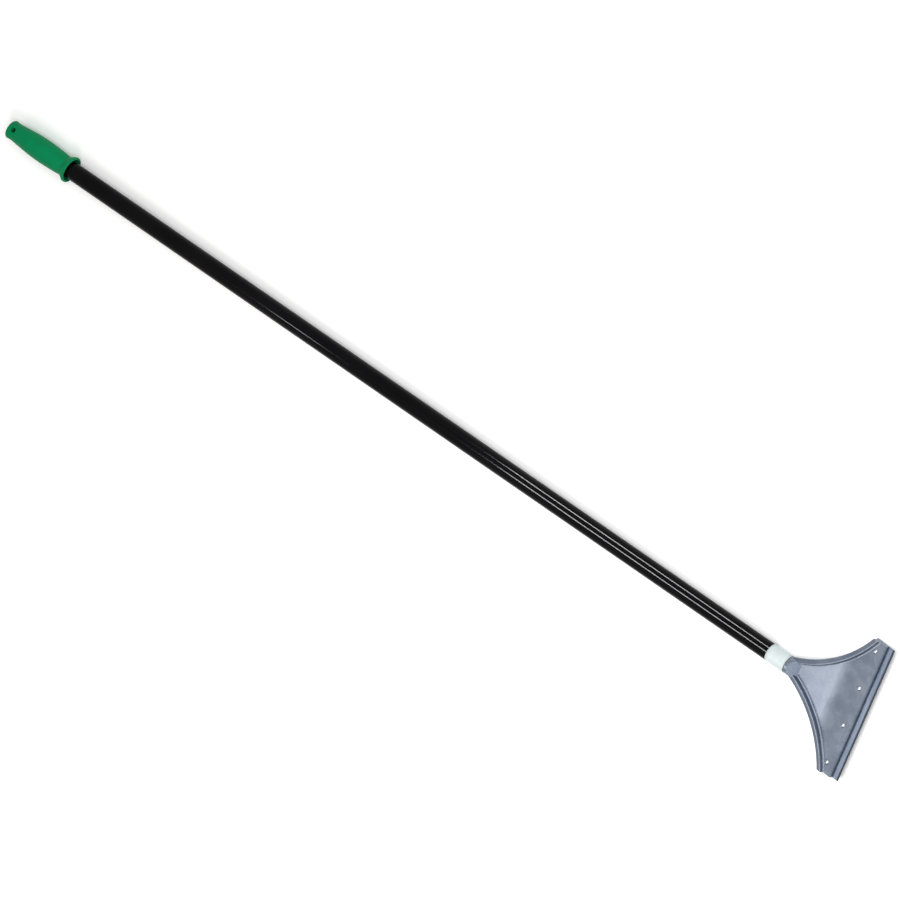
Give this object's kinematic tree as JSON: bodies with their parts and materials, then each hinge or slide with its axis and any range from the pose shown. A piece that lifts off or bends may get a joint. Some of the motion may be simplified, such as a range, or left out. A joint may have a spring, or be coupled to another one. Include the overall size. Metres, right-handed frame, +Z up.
{
  "type": "long-handled floor scraper",
  "caption": "Long-handled floor and ice scraper: green moulded grip, black steel tube, cast fan-shaped head with raised rims and a clamped straight blade.",
  "frame": {"origin": "centre of the footprint, on the floor, with the tool lying face up on its grip flange and clamp screws", "axes": "+X along the handle from the grip to the blade, +Y along the blade, +Z up, out of the face of the head"},
  "size_m": [1.5248, 0.2032, 0.0378],
  "materials": {
    "tube_paint": "gloss",
    "grip_plastic": "satin",
    "label_film": "satin",
    "cast_aluminium": "satin",
    "blade_steel": "satin",
    "clamp_steel": "satin",
    "plated_steel": "bright"
  },
  "bodies": {
    "handle": {"handle_tube": "tube_paint", "grip": "grip_plastic", "label_band": "label_film", "scraper_head": "cast_aluminium", "head_rivet": "plated_steel"},
    "blade": {"blade": "blade_steel"},
    "clamp": {"clamp_plate": "clamp_steel"},
    "screw_1": {"clamp_screw_1": "plated_steel", "lock_washer_1": "plated_steel"},
    "screw_2": {"clamp_screw_2": "plated_steel", "lock_washer_2": "plated_steel"},
    "screw_3": {"clamp_screw_3": "plated_steel", "lock_washer_3": "plated_steel"},
    "screw_4": {"clamp_screw_4": "plated_steel", "lock_washer_4": "plated_steel"}
  },
  "joints": [
    {"name": "blade_off", "type": "slide", "parent": "handle", "child": "blade", "axis": [0.111, 0, -0.9938], "range_m": [0, 0.02]},
    {"name": "clamp_off", "type": "slide", "parent": "blade", "child": "clamp", "axis": [0.111, 0, -0.9938], "range_m": [0, 0.02]},
    {"name": "screw_1_out", "type": "slide", "parent": "clamp", "child": "screw_1", "axis": [0.111, 0, -0.9938], "range_m": [0, 0.015]},
    {"name": "screw_2_out", "type": "slide", "parent": "clamp", "child": "screw_2", "axis": [0.111, 0, -0.9938], "range_m": [0, 0.015]},
    {"name": "screw_3_out", "type": "slide", "parent": "clamp", "child": "screw_3", "axis": [0.111, 0, -0.9938], "range_m": [0, 0.015]},
    {"name": "screw_4_out", "type": "slide", "parent": "clamp", "child": "screw_4", "axis": [0.111, 0, -0.9938], "range_m": [0, 0.015]}
  ]
}
